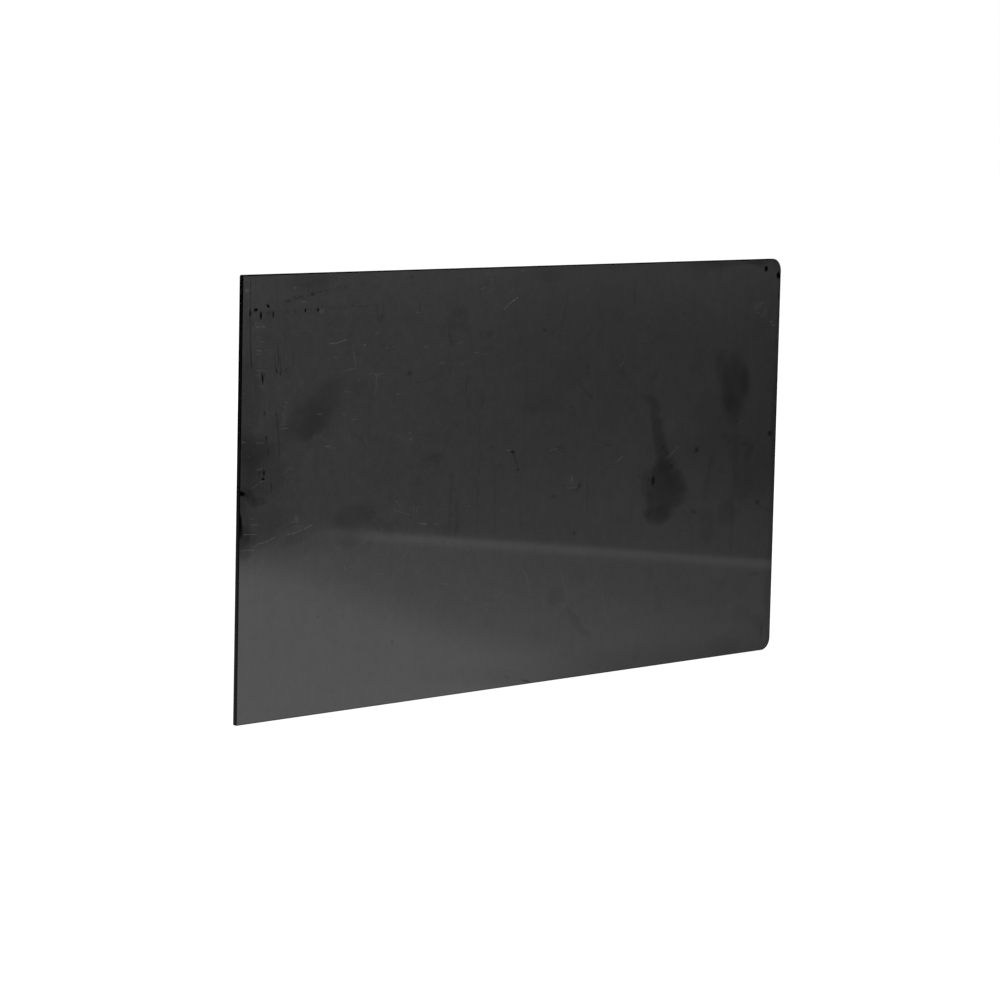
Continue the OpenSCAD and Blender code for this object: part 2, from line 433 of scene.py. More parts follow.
# Light scratches: x and z of the two ends, half width, brightness
SCRATCHES = [
    # the worn strip at the cut end
    (-269.2, 80, -267.6, 69, 0.45, 0.26),
    (-267.8, 119.8, -265.8, 119.4, 0.45, 0.4),
    (-266.6, 117.4, -259.4, 117.4, 0.5, 0.52),
    (-261, 117.2, -257.8, 116.4, 0.45, 0.34),
    (-267.8, 118.2, -266, 117.2, 0.45, 0.4),
    (-266.4, 110.6, -262.8, 110.4, 0.4, 0.34),
    (-266.4, 108.9, -263, 108.9, 0.4, 0.3),
    (-263.4, 107.4, -259.6, 107.2, 0.45, 0.44),
    (-266, 101.4, -261.4, 101.2, 0.5, 0.5),
    (-265.6, 99, -262.6, 98.8, 0.8, 0.2),
    (-266, 104.4, -264.2, 104.4, 0.4, 0.26),
    (-265.4, 88, -256.4, 87.6, 0.45, 0.34),
    (-266.2, 84.6, -262.4, 84.4, 0.6, 0.2),
    (-262.8, 77.4, -258.2, 77, 0.5, 0.38),
    (-278, 40.4, -275, 40, 0.7, 0.4),
    (-264.4, 39.2, -258.4, 38.6, 0.75, 0.34),
    (-274, 31, -270.6, 30, 0.45, 0.22),
    (-268.4, 8.8, -263.4, 10.6, 0.5, 0.36),
    (-263.6, 10.4, -260, 12.8, 0.5, 0.34),
    (-260.2, 12.9, -256.8, 13, 0.45, 0.34),
    (-264.2, 21.4, -259.6, 20.8, 0.5, 0.44),
    (-268, -16.5, -262.6, -16.4, 0.6, 0.42),
    (-275.6, -22.3, -264.6, -23, 0.5, 0.4),
    (-277.2, -33, -264.6, -33.4, 0.5, 0.4),
    (-270.5, -12, -266, -12.2, 0.45, 0.24),
    (-267, -30.8, -263.6, -31.2, 0.5, 0.3),
    # curved scuffs below it
    (-263.6, -29.9, -254, -28.6, 0.6, 0.4),
    (-254.2, -28.8, -245.4, -25.7, 0.6, 0.38),
    (-244.6, -21.2, -237, -18.2, 0.45, 0.18),
    (-234.6, -25.2, -226, -24.2, 0.6, 0.4),
    (-226.6, -24.4, -219, -22.4, 0.5, 0.4),
    (-219.6, -22.6, -212, -19.6, 0.5, 0.46),
    (-232.4, -16.9, -223, -16.8, 0.5, 0.34),
    (-229, -19.8, -221.6, -20.2, 0.45, 0.18),
    (-227, -12, -227, -18.6, 0.5, 0.26),
    # the middle of the cut end's half
    (-198.8, 103.6, -192.4, 103.8, 0.5, 0.62),
    (-192.6, 103.8, -183.4, 105.6, 0.5, 0.68),
    (-175.8, 97, -173.2, 86.4, 0.45, 0.46),
    (-186.8, 84, -173.4, 86, 0.45, 0.32),
    (-177.2, 101.5, -176, 97.5, 0.45, 0.2),
    (-173.2, 86.4, -171, 81, 0.45, 0.16),
    (-160.2, 80.8, -156.8, 82, 0.5, 0.34),
    (-155.4, 80.9, -147.6, 80.7, 0.9, 0.28),
    (-153.4, 79.4, -153.6, 72.6, 1.1, 0.26),
    (-153.6, 72.8, -154.8, 67.6, 0.9, 0.2),
    (-148, 78.4, -144, 78, 0.5, 0.16),
    (-146.6, 81.4, -135, 82.2, 0.45, 0.12),
    (-166, 101.2, -164, 102.6, 1, 0.4),
    (-194.4, 94.2, -191.2, 93.6, 0.5, 0.24),
    (-193.8, 112.6, -190.4, 112, 0.5, 0.26),
    (-208.6, 127.8, -204.4, 127.9, 0.5, 0.4),
    (-208.8, 126.4, -204.8, 126.4, 0.7, 0.56),
    (-208.4, 125.1, -205.6, 124.9, 0.5, 0.5),
    (-209, 55.9, -205, 55.6, 0.6, 0.44),
    (-185, 54.8, -182.6, 54.4, 0.65, 0.26),
    (-176.4, 50.6, -172.2, 50.4, 0.6, 0.34),
    (-183.6, 70, -180.4, 69.8, 0.5, 0.3),
    (-201.6, 33.4, -196.4, 33, 0.65, 0.42),
    (-194, 31.8, -191, 31.4, 0.45, 0.2),
    (-234.6, 20, -230, 19.6, 0.9, 0.2),
    (-213.4, 40.4, -209, 42.6, 0.5, 0.34),
    (-210.8, 39.4, -206.2, 41.4, 0.5, 0.34),
    (-145.6, 99.2, -142.4, 98.9, 0.65, 0.32),
    (-138.6, 99.4, -134.6, 99.4, 0.5, 0.24),
    (-106.4, 98.4, -103, 98.3, 0.9, 0.24),
    (-134, 66.1, -130.6, 66, 0.6, 0.3),
    (-225.6, 133.3, -222.2, 133, 0.65, 0.42),
    (-231.6, 133.6, -226, 133.6, 0.45, 0.26),
    (-241.8, 47.8, -236.6, 47.6, 0.7, 0.34),
    (-240.6, 57.8, -240.4, 49.2, 0.5, 0.34),
    (-238.6, 58, -238.4, 50, 0.45, 0.28),
    (-243, 50.2, -236.6, 50, 0.4, 0.16),
    (-241, 62.8, -237.6, 62.6, 0.6, 0.26),
    (-238.2, 66, -236.8, 64, 0.7, 0.26),
    (-115.4, 122.4, -112, 122.2, 0.5, 0.3),
    (-134.6, -15, -125, -17.6, 0.7, 0.34),
    (-125, -17.6, -118, -19.8, 0.6, 0.28),
    (-153.8, -19.6, -144.6, -28, 0.45, 0.14),
    (-110, -25.8, -105.6, -26.6, 0.5, 0.28),
    (-106.6, -26.8, -102, -27.2, 0.75, 0.5),
    (-114.8, -14, -114.8, -18, 0.9, 0.24),
    (-111.6, -14.2, -111.6, -17.8, 0.9, 0.22),
    (-150, -45.2, -128, -47.2, 0.45, 0.08),
    (-180.3, -49.6, -180, -54, 0.65, 0.26),
    # the middle of the face
    (-27.5, 122.2, -21, 126.9, 0.5, 0.72),
    (-21.2, 126.8, -13.8, 130.2, 0.5, 0.78),
    (-35, 125.6, -32.4, 125.4, 0.5, 0.3),
    (-51.6, 137, -47.6, 138.7, 0.65, 0.38),
    (-47.6, 146.6, -44, 149.6, 0.65, 0.16),
    (-57.4, 92.5, -53, 92.1, 0.65, 0.34),
    (-47.6, 90.6, -45, 90.6, 1, 0.28),
    (-85.6, 100, -74, 99.6, 0.45, 0.14),
    (-74, 99.6, -68.4, 100.2, 0.6, 0.22),
    (-90.8, 86.5, -87.4, 86.2, 0.9, 0.42),
    (-71, 84.6, -67.6, 84.4, 0.9, 0.28),
    (-11.4, 149.6, -8.2, 149.5, 0.6, 0.4),
    (23.4, 17.6, 31.2, 19, 0.5, 0.32),
    (-21.6, 20.4, -17.4, 20.2, 0.65, 0.4),
    (41.6, -10.6, 47.6, -11, 0.5, 0.26),
    (48, -11, 53, -11, 0.65, 0.4),
    (28, -19.2, 31.4, -19.2, 0.5, 0.2),
    (-62.6, -17.6, -58, -17.5, 0.6, 0.26),
    (-61.6, -20.4, -56, -20.6, 0.45, 0.16),
    (-93.6, -27.8, -89.6, -28.2, 0.75, 0.3),
    (-91, -42.6, -87, -41.4, 0.65, 0.36),
    (-89.4, -40.6, -86.4, -38.6, 0.45, 0.18),
    (-62, -48, -58, -49.2, 0.5, 0.2),
    (72, -19.8, 80, -20.2, 0.5, 0.1),
    (74, -38, 80, -38.2, 0.6, 0.16),
    # the rounded end
    (96.4, 5.6, 103, 9.2, 1, 0.34),
    (97.4, 76.8, 100.6, 78.8, 1.3, 0.26),
    (152.4, 4.4, 158.4, 8.4, 0.75, 0.36),
    (158, 8.2, 164.6, 12.6, 0.75, 0.26),
    (163, -30, 176, -37, 1.2, 0.04),
    (176, -37, 189, -42, 1.2, 0.05),
    (269.8, 101.3, 274, 100.9, 0.65, 0.38),
    (249, 113.8, 259, 119.6, 1.4, 0.2),
    (250, 111.6, 255.4, 111.4, 0.75, 0.16),
    (256.4, 108.4, 262.6, 112.4, 1, 0.14),
    (258, 115, 265, 113, 0.65, 0.12),
    # below the middle
    (-47.6, -59.6, -41.4, -69.4, 0.65, 0.12),
    (-66.4, -61.6, -64, -67.4, 0.6, 0.11),
    (-84.4, -71.2, -79.6, -72, 0.6, 0.2),
    (-70, -78.6, -60, -84.6, 0.5, 0.11),
    (-61, -84.2, -50, -88, 0.5, 0.12),
    (-38.4, -82, -39, -97, 1.2, 0.05),
    (-31, -85, -24, -85.2, 0.6, 0.08),
    (-18.8, -84, -17.6, -99, 0.75, 0.05),
    (-2.6, -66, 1.2, -72, 0.75, 0.18),
    (1, -71.6, 4.4, -79.6, 0.75, 0.18),
    (4.4, -79.2, 6.8, -94, 0.75, 0.09),
    (6.8, -94, 9, -112, 1, 0.05),
    (36, -66, 41.4, -80, 0.75, 0.1),
    (41.2, -79.4, 44.4, -90, 0.75, 0.14),
    (44.2, -89.4, 49, -100.4, 0.75, 0.12),
    (82, -80, 85, -95, 0.75, 0.09),
    (85, -94, 88.6, -110, 1, 0.07),
    (76, -72, 76.6, -80, 1, 0.11),
    (-25, -136.4, 0, -141, 1.6, 0.06),
]
# Light smeared patches: x, z, half length, half width, brightness, turn
PALE_PATCHES = [
    (-275.8, 142.4, 2.8, 1.8, 0.5),
    (-230, 142, 1.7, 1.2, 0.5),
    (-223.6, 78, 3, 5, 0.08),
    (-223, 73, 3, 2, 0.12, 90),
    (-239.4, 61, 5, 3, 0.08, 60),
    (-263, 118, 5, 2.4, 0.08),
    (-266.5, 33, 3, 3, 0.06),
    (-259.6, 17.5, 5, 4.5, 0.1),
    (-170, 78.8, 1.5, 1.2, 0.4),
    (-152.5, 110, 1.6, 1.4, 0.34),
    (-119.4, 38.4, 2.2, 1.2, 0.34),
    (-118.2, 34.2, 2.2, 1.3, 0.32),
    (-128, 35, 7, 4, 0.06),
    (-227, -14.8, 2.2, 2, 0.36),
    (-130.5, -9.7, 1.7, 1.3, 0.34),
    (-130, -16, 8, 8, 0.07),
    (-133, -33.8, 2, 1.2, 0.14),
    (-130.6, -36.2, 2.6, 1.2, 0.14),
    (-125.6, -35.4, 1.8, 1, 0.1),
    (-277.4, 76.8, 1.6, 1.2, 0.22),
    (-277.4, 72, 2.2, 1.2, 0.18),
    (-40.7, 142.2, 1.8, 1.5, 0.22),
    (-20, 135, 2.6, 1.6, 0.18),
    (-74.6, 115.4, 3.2, 1.2, 0.12),
    (253, 117, 6, 3.4, 0.14, 30),
    (260, 110, 6, 3.6, 0.1, 20),
    (268.8, 104.4, 2.8, 1.6, 0.22, 20),
    (232.4, 69, 3.4, 3, 0.06),
    (138.4, 41.6, 1.8, 2.2, 0.06),
    (154, 30, 7, 9, 0.06),
    (186, -14, 10, 16, 0.04),
    (48.5, -4.2, 1.6, 3, 0.34),
    (50, -8, 6, 5, 0.06),
    (-88, -42, 4, 2, 0.12),
    (-136, -37, 8, 3, 0.06, -8),
    (265, -142, 14, 8, 0.04),
]


# ---- Building shaders ----
class Net:
    """Adds nodes to a shader tree. They take numbers, vectors and the sockets of other nodes."""

    def __init__(self, tree):
        self.tree = tree

    def node(self, kind, inputs=None, **settings):
        made = self.tree.nodes.new(kind)
        for name, value in settings.items():
            setattr(made, name, value)
        for name, value in (inputs or {}).items():
            self.feed(made.inputs[name], value)
        return made

    def feed(self, socket, value):
        if isinstance(value, bpy.types.NodeSocket):
            self.tree.links.new(value, socket)
        else:
            socket.default_value = value

    def math(self, operation, *values, clamp=False):
        inputs = dict(enumerate(values))
        return self.node("ShaderNodeMath", inputs, operation=operation, use_clamp=clamp).outputs[0]

    def product(self, first, *others):
        for other in others:
            first = self.math("MULTIPLY", first, other)
        return first

    def rest(self, share):
        """What a share leaves of 1."""
        return self.math("SUBTRACT", 1.0, share)

    def vector(self, operation, *values, gives="Vector"):
        inputs = dict(enumerate(values))
        return self.node("ShaderNodeVectorMath", inputs, operation=operation).outputs[gives]

    def dot(self, first, second):
        return self.vector("DOT_PRODUCT", first, second, gives="Value")

    def scaled(self, vector, factor):
        inputs = {"Vector": vector, "Scale": factor}
        return self.node("ShaderNodeVectorMath", inputs, operation="SCALE").outputs["Vector"]

    def split(self, vector):
        return self.node("ShaderNodeSeparateXYZ", {"Vector": vector}).outputs

    def ramp(self, value, low, high, at_low=0.0, at_high=1.0, smooth=True):
        """at_low where value is low, at_high where it is high, and a smooth change between them."""
        inputs = {"Value": value, "From Min": low, "From Max": high, "To Min": at_low, "To Max": at_high}
        way = "SMOOTHSTEP" if smooth else "LINEAR"
        made = self.node("ShaderNodeMapRange", inputs, interpolation_type=way, clamp=not smooth)
        return made.outputs["Result"]

    def between(self, share, low, high):
        """low where a share is 0, high where it is 1, and an even change between them."""
        return self.ramp(share, 0.0, 1.0, low, high, smooth=False)

    def noise(self, vector, scale, detail, gives="Fac"):
        """Noise from 0 to 1, about 0.5, whose lumps are about 1 / scale across."""
        inputs = {"Vector": vector, "Scale": scale, "Detail": detail}
        return self.node("ShaderNodeTexNoise", inputs).outputs[gives]

    def spread(self, share, contrast):
        """A share moved away from 0.5 by a factor, and kept within 0 to 1."""
        return self.math("MULTIPLY_ADD", self.math("SUBTRACT", share, 0.5), contrast, 0.5, clamp=True)

    def grey(self, value):
        inputs = {"Red": value, "Green": value, "Blue": value}
        return self.node("ShaderNodeCombineColor", inputs).outputs["Color"]

    def for_rays(self, kind, others, these):
        """One shader for a kind of ray, and another for all others."""
        chosen = self.node("ShaderNodeLightPath").outputs[kind]
        return self.node("ShaderNodeMixShader", {0: chosen, 1: others, 2: these}).outputs["Shader"]

    def group(self, tree, inputs):
        return self.node("ShaderNodeGroup", inputs, node_tree=tree).outputs

    def uneven(self, where, size, contrast):
        return self.group(UNEVEN, {"Where": where, "Size": size, "Contrast": contrast})["Share"]

    def hairlines(self, where, spacing, length):
        inputs = {"Where": where, "Spacing": spacing, "Length": length, "Contrast": 2.0}
        return self.group(HAIRLINES, inputs)["Share"]

    def wobble(self, where, size, reach):
        return self.group(WOBBLE, {"Where": where, "Size": size, "Reach": reach})["Where"]


def emptied(owner):
    """The Net of a material's or the world's shader tree, with nothing in it."""
    owner.use_nodes = True
    owner.node_tree.nodes.clear()
    return Net(owner.node_tree)


def new_material(name):
    """A material with a Principled BSDF, its Net, that node, and where a point lies in millimetres."""
    material = bpy.data.materials.new(name)
    net = emptied(material)
    shader = net.node("ShaderNodeBsdfPrincipled")
    net.node("ShaderNodeOutputMaterial", {"Surface": shader.outputs["BSDF"]})
    place = net.node("ShaderNodeTexCoord").outputs["Object"]
    return material, net, shader, net.scaled(place, 1.0 / MM)


def finish(net, shader, colour, rough, height, strength=1.0):
    """Gives a shader its colour, its roughness and its relief, whose height is in metres."""
    bump = net.node("ShaderNodeBump", {"Height": height, "Distance": 1.0, "Strength": strength})
    looks = {"Base Color": colour, "Roughness": rough, "Normal": bump.outputs["Normal"]}
    for name, value in looks.items():
        net.feed(shader.inputs[name], value)


def new_group(name, vectors, values, gives, result="NodeSocketFloat"):
    """A group that takes vectors and values and gives one result: its tree, Net, inputs and output."""
    tree = bpy.data.node_groups.new(name, "ShaderNodeTree")
    for labels, kind in ((vectors, "NodeSocketVector"), (values, "NodeSocketFloat")):
        for label in labels:
            tree.interface.new_socket(name=label, in_out="INPUT", socket_type=kind)
    tree.interface.new_socket(name=gives, in_out="OUTPUT", socket_type=result)
    net = Net(tree)
    return tree, net, net.node("NodeGroupInput").outputs, net.node("NodeGroupOutput").inputs[gives]


def mark_group(name, adds, reach_squared, vectors, values=()):
    """Joins one mark to the marks so far: added where it is brighter, or taken from what they have left.

    The square of how far out a point is runs from 0 to 1. The mark is even up to Core, then fades."""
    values = (*values, "Core", "Strength", "So far")
    tree, net, given, out = new_group(name, ("Where", *vectors), values, "So far")
    fade = net.ramp(reach_squared(net, given), given["Core"], 1.0, 1.0, 0.0)
    mark = net.product(fade, given["Strength"])
    if adds:
        net.feed(out, net.math("MAXIMUM", given["So far"], mark))
    else:
        net.feed(out, net.product(given["So far"], net.rest(mark)))
    return tree


def oval_group(name, adds):
    """An oval mark. Along and Across lie on its axes, and are as long as 1 over its half sizes."""

    def reach_squared(net, given):
        off = net.vector("SUBTRACT", given["Where"], given["Place"])
        along = net.dot(off, given["Along"])
        across = net.dot(off, given["Across"])
        return net.math("MULTIPLY_ADD", along, along, net.product(across, across))

    return mark_group(name, adds, reach_squared, ("Place", "Along", "Across"))


def line_group(name, adds):
    """A straight mark with soft sides and round ends. Along is its span over the square of its length.

    Thinness is 1 over the square of its half width."""

    def reach_squared(net, given):
        off = net.vector("SUBTRACT", given["Where"], given["Start"])
        share = net.math("MINIMUM", net.math("MAXIMUM", net.dot(off, given["Along"]), 0.0), 1.0)
        aside = net.vector("SUBTRACT", off, net.scaled(given["Span"], share))
        return net.product(net.dot(aside, aside), given["Thinness"])

    return mark_group(name, adds, reach_squared, ("Start", "Span", "Along"), ("Thinness",))


def uneven_group():
    """Unevenness of about one size, from 0 to 1, as dust or wear leaves it."""
    tree, net, given, out = new_group("uneven", ("Where",), ("Size", "Contrast"), "Share")
    lumps = net.noise(given["Where"], net.math("DIVIDE", 1.0, given["Size"]), detail=4.0)
    net.feed(out, net.spread(lumps, given["Contrast"]))
    return tree


def hairlines_group():
    """Fine parallel rub lines that run along Z: from 0 to 1, mostly near 0.5."""
    values = ("Spacing", "Length", "Contrast")
    tree, net, given, out = new_group("hairlines", ("Where",), values, "Share")
    across = net.math("DIVIDE", 1.0, given["Spacing"])
    along = net.math("DIVIDE", 1.0, given["Length"])
    squeeze = net.node("ShaderNodeCombineXYZ", {"X": across, "Y": across, "Z": along}).outputs[0]
    lines = net.noise(net.vector("MULTIPLY", given["Where"], squeeze), 1.0, detail=3.0)
    net.feed(out, net.spread(lines, given["Contrast"]))
    return tree


def wobble_group():
    """Moves a point a little in X and Z and lays it on the face, so that what is drawn isn't even."""
    tree, net, given, out = new_group("wobble", ("Where",), ("Size", "Reach"), "Where", "NodeSocketVector")
    scale = net.math("DIVIDE", 1.0, given["Size"])
    lumps = net.noise(given["Where"], scale, detail=3.0, gives="Color")
    centred = net.vector("SUBTRACT", lumps, (0.5, 0.5, 0.5))
    moved = net.vector("ADD", given["Where"], net.scaled(centred, given["Reach"]))
    net.feed(out, net.vector("MULTIPLY", moved, (1.0, 0.0, 1.0)))
    return tree


UNEVEN = uneven_group()
HAIRLINES = hairlines_group()
WOBBLE = wobble_group()


# ---- Laying the marks on the face ----
def oval(x, z, half_long, half_wide, strength, turn=0):
    """An oval mark's two like ends, its reach, and its node inputs. The turn is in degrees."""
    turned = math.radians(turn)
    inputs = {
        "Place": (x, 0.0, z),
        "Along": (math.cos(turned) / half_long, 0.0, math.sin(turned) / half_long),
        "Across": (-math.sin(turned) / half_wide, 0.0, math.cos(turned) / half_wide),
        "Strength": strength,
    }
    return (x, z, x, z), max(half_long, half_wide), inputs


def line(x1, z1, x2, z2, half_wide, strength):
    """A line mark's two ends, its reach, and its node inputs."""
    square = (x2 - x1) ** 2 + (z2 - z1) ** 2
    inputs = {
        "Start": (x1, 0.0, z1),
        "Span": (x2 - x1, 0.0, z2 - z1),
        "Along": ((x2 - x1) / square, 0.0, (z2 - z1) / square),
        "Thinness": 1.0 / half_wide**2,
        "Strength": strength,
    }
    return (x1, z1, x2, z2), half_wide, inputs


ADDED_OVAL = (oval, oval_group("added_oval", adds=True))
TAKEN_OVAL = (oval, oval_group("taken_oval", adds=False))
ADDED_LINE = (line, line_group("added_line", adds=True))
TAKEN_LINE = (line, line_group("taken_line", adds=False))


class Zone:
    """A part of the face, and the marks that reach into it."""

    def __init__(self, low_x, high_x, low_z, high_z):
        self.low = (low_x - ZONE_MARGIN, low_z - ZONE_MARGIN)
        self.high = (high_x + ZONE_MARGIN, high_z + ZONE_MARGIN)

    def meets(self, ends, reach):
        """True if a mark between two points, with its reach, may show in the zone."""
        x1, z1, x2, z2 = ends
        across = max(x1, x2) + reach > self.low[0] and min(x1, x2) - reach < self.high[0]
        up = max(z1, z2) + reach > self.low[1] and min(z1, z2) - reach < self.high[1]
        return across and up

    def joined(self, net, kind, where, so_far, marks, core):
        """Joins the zone's marks of one kind, one by one, to what there is so far."""
        shape, tree = kind
        for mark in marks:
            ends, reach, inputs = shape(*mark)
            if self.meets(ends, reach):
                inputs.update({"Where": where, "Core": core * core, "So far": so_far})
                so_far = net.group(tree, inputs)["So far"]
        return so_far


# ---- Materials ----
PLASTIC_IOR = 1.54
CLEAN_BLACK = 0.0035
HAZE_GREY = 0.0282
SCRATCH_GREY = 0.045
EDGE_BLACK = (0.0008, 0.0025)
BACK_BLACK = (0.01, 0.017)
FOAM_GREY = (0.075, 0.1)
PAPER_CREAM = (0.78, 0.74, 0.62)
FACE_ROUGH = (0.045, 0.06)
SCRATCHES_ROUGHEN = 0.25
PITS_ROUGHEN = 0.4
EDGE_ROUGH = (0.2, 0.32)
BACK_ROUGH = (0.26, 0.36)
FOAM_ROUGH = 0.88
PAPER_ROUGH = (0.42, 0.55)

# The film of scuffs on the face. It also gives a weak, broad sheen
SCUFF_SHEEN = 0.35
SCUFF_SHEEN_ROUGHNESS = 0.5
# How strong it is, between two places in X or Z, and the share at each: painted shade that fades it to the
# right as the light falls off, darker towards the rounded end and at its rim, and painted shade near the
# foot
FALLOFF_TO_RIGHT = (-HALF_W_MM, HALF_W_MM, 1.06, 0.8)
DARKER_TO_ROUND_END = (180.0, HALF_W_MM, 1.0, 0.86)
DARKER_AT_RIM = (HALF_W_MM - 5.0, HALF_W_MM - 1.5, 1.0, 0.78)
PAINTED_FOOT_SHADE = (-HALF_H_MM, -120.0, 0.94, 1.0)
# How far each unevenness changes it: the same everywhere, or between two places in X
BROAD_CHANGE = 0.2
CLOUDY_CHANGE = (-140.0, 60.0, 0.36, 0.3)
FINE_CHANGE = (-140.0, 60.0, 0.38, 0.28)
RUBBED_CHANGE = (-230.0, -170.0, 0.15, 0.08)

# Relief in metres. Its sizes are in millimetres, and the squeeze is 1 over them
SHEET_WARP = 0.1 * MM
SHEET_WARP_SIZE = 260.0
SAW_LINES = 0.02 * MM
SAW_SQUEEZE = (1.0 / 0.35, 1.0 / 12.0, 1.0 / 0.35)
BACK_GRAIN = 0.01 * MM
FOAM_CELLS = 0.05 * MM
FOAM_CELL_SIZE = 0.28
PAPER_FIBRES = 0.01 * MM
PAPER_CREASES = 0.25 * MM


def face_plastic(name, zone):
    """The kicked face: black plastic under a film of fine scuffs, smudged, nicked and scratched, with
    painted shade that darkens it to the right and near its foot, and pits painted black.
    """
    material, net, shader, where = new_material(name)
    x, _, z = net.split(where)
    smudged = net.wobble(where, size=14.0, reach=6.0)
    drawn = net.wobble(where, size=5.0, reach=0.9)

    # The film of scuffs, with its cloudiness and rub lines, and painted shade that fades it to the right,
    # at the rounded end's rim and near the foot
    film_with_painted_shade = net.ramp(x, *FALLOFF_TO_RIGHT, smooth=False)
    film_with_painted_shade = net.product(film_with_painted_shade, net.ramp(x, *DARKER_TO_ROUND_END), net.ramp(x, *DARKER_AT_RIM), net.ramp(z, *PAINTED_FOOT_SHADE))
    broad = net.uneven(where, size=70.0, contrast=1.2)
    cloudy = net.uneven(where, size=7.0, contrast=1.3)
    stretched = net.vector("MULTIPLY", where, (0.5, 1.0, 1.0))
    fine = net.uneven(stretched, size=1.5, contrast=1.3)
    rubbed = net.hairlines(where, spacing=1.6, length=30.0)
    change = net.product(net.math("SUBTRACT", broad, 0.5), BROAD_CHANGE)
    for share, weight in ((cloudy, CLOUDY_CHANGE), (fine, FINE_CHANGE), (rubbed, RUBBED_CHANGE)):
        change = net.math("MULTIPLY_ADD", net.math("SUBTRACT", share, 0.5), net.ramp(x, *weight), change)
    haze = net.math("MULTIPLY_ADD", film_with_painted_shade, change, film_with_painted_shade)

    # What handling has wiped off it, blotchy as a smear is
    wiped = zone.joined(net, TAKEN_OVAL, smudged, 1.0, WIPED_PATCHES, core=0.35)
    banded = zone.joined(net, ADDED_LINE, smudged, 0.0, WIPED_BANDS, core=0.1)
    wiped = net.product(wiped, net.rest(banded))
    gone = net.product(net.rest(wiped), net.between(cloudy, 0.85, 1.15))
    haze = net.product(haze, net.rest(gone))
    haze = zone.joined(net, TAKEN_OVAL, drawn, haze, SPECKS, core=0.15)
    haze = zone.joined(net, TAKEN_LINE, drawn, haze, SCORES, core=0.15)

    # Pits, painted black with no reflection as the shade inside a nick, and light scratches
    outside_pit_shade = zone.joined(net, TAKEN_OVAL, drawn, 1.0, SHADED_PITS, core=0.3)
    pit_shade = net.rest(outside_pit_shade)
    haze = net.product(haze, outside_pit_shade)
    bright = zone.joined(net, ADDED_LINE, drawn, 0.0, SCRATCHES, core=0.1)
    bright = zone.joined(net, ADDED_OVAL, smudged, bright, PALE_PATCHES, core=0.1)
    bright = net.product(bright, net.ramp(fine, 0.2, 0.8, 0.5, 1.3))

    grey = net.math("MULTIPLY_ADD", haze, HAZE_GREY - CLEAN_BLACK, net.product(outside_pit_shade, CLEAN_BLACK))
    grey = net.math("MULTIPLY_ADD", bright, SCRATCH_GREY, grey)
    rough = net.math("MULTIPLY_ADD", bright, SCRATCHES_ROUGHEN, net.between(fine, *FACE_ROUGH))
    rough = net.math("MULTIPLY_ADD", pit_shade, PITS_ROUGHEN, rough)
    warp = net.product(net.noise(where, 1.0 / SHEET_WARP_SIZE, detail=0.0), SHEET_WARP)
    finish(net, shader, net.grey(grey), rough, warp)
    # painted shade: pits are made metallic on a black colour, so they give back no light and no reflection
    net.feed(shader.inputs["Metallic"], pit_shade)
    net.feed(shader.inputs["Coat Weight"], net.product(outside_pit_shade, SCUFF_SHEEN))
    shader.inputs["Coat Roughness"].default_value = SCUFF_SHEEN_ROUGHNESS
    shader.inputs["IOR"].default_value = PLASTIC_IOR
    return material


def edge_plastic():
    """The sheet's cut edges: clean black, with fine saw lines across the thickness."""
    material, net, shader, where = new_material("edge_plastic")
    dusty = net.uneven(where, size=9.0, contrast=2.4)
    squeezed = net.vector("MULTIPLY", where, SAW_SQUEEZE)
    sawn = net.product(net.noise(squeezed, 1.0, detail=2.0), SAW_LINES)
    grey = net.ramp(dusty, 0.55, 1.0, *EDGE_BLACK)
    finish(net, shader, net.grey(grey), net.between(dusty, *EDGE_ROUGH), sawn)
    shader.inputs["IOR"].default_value = PLASTIC_IOR
    shader.inputs["Specular IOR Level"].default_value = 0.12
    return material


def back_plastic():
    """The side that faces the door: the same sheet, satin and dusty but hardly scratched."""
    material, net, shader, where = new_material("back_plastic")
    dusty = net.uneven(where, size=45.0, contrast=2.2)
    fine = net.uneven(where, size=1.2, contrast=2.0)
    rubbed = net.hairlines(where, spacing=2.2, length=90.0)
    grey = net.product(
        net.between(dusty, *BACK_BLACK), net.between(fine, 0.85, 1.15), net.between(rubbed, 0.92, 1.08)
    )
    finish(net, shader, net.grey(grey), net.between(fine, *BACK_ROUGH), net.product(fine, BACK_GRAIN))
    shader.inputs["IOR"].default_value = PLASTIC_IOR
    return material


def foam():
    """Grey closed-cell foam: matt, with fine cells where it was slit, whose hollow middles are painted
    darker as shade.
    """
    material, net, shader, where = new_material("foam")
    tone = net.uneven(where, size=12.0, contrast=1.6)
    inputs = {"Vector": where, "Scale": 1.0 / FOAM_CELL_SIZE}
    cells = net.node("ShaderNodeTexVoronoi", inputs).outputs["Distance"]
    cell = net.ramp(cells, 0.0, 0.8)
    # painted shade: the colour darkens towards each cell's hollow middle, where the relief is lowest
    grey = net.product(net.ramp(tone, 0.0, 1.0, *FOAM_GREY), net.ramp(cell, 0.0, 1.0, 0.8, 1.15))
    finish(net, shader, net.grey(grey), FOAM_ROUGH, net.product(cell, FOAM_CELLS), strength=0.8)
    return material


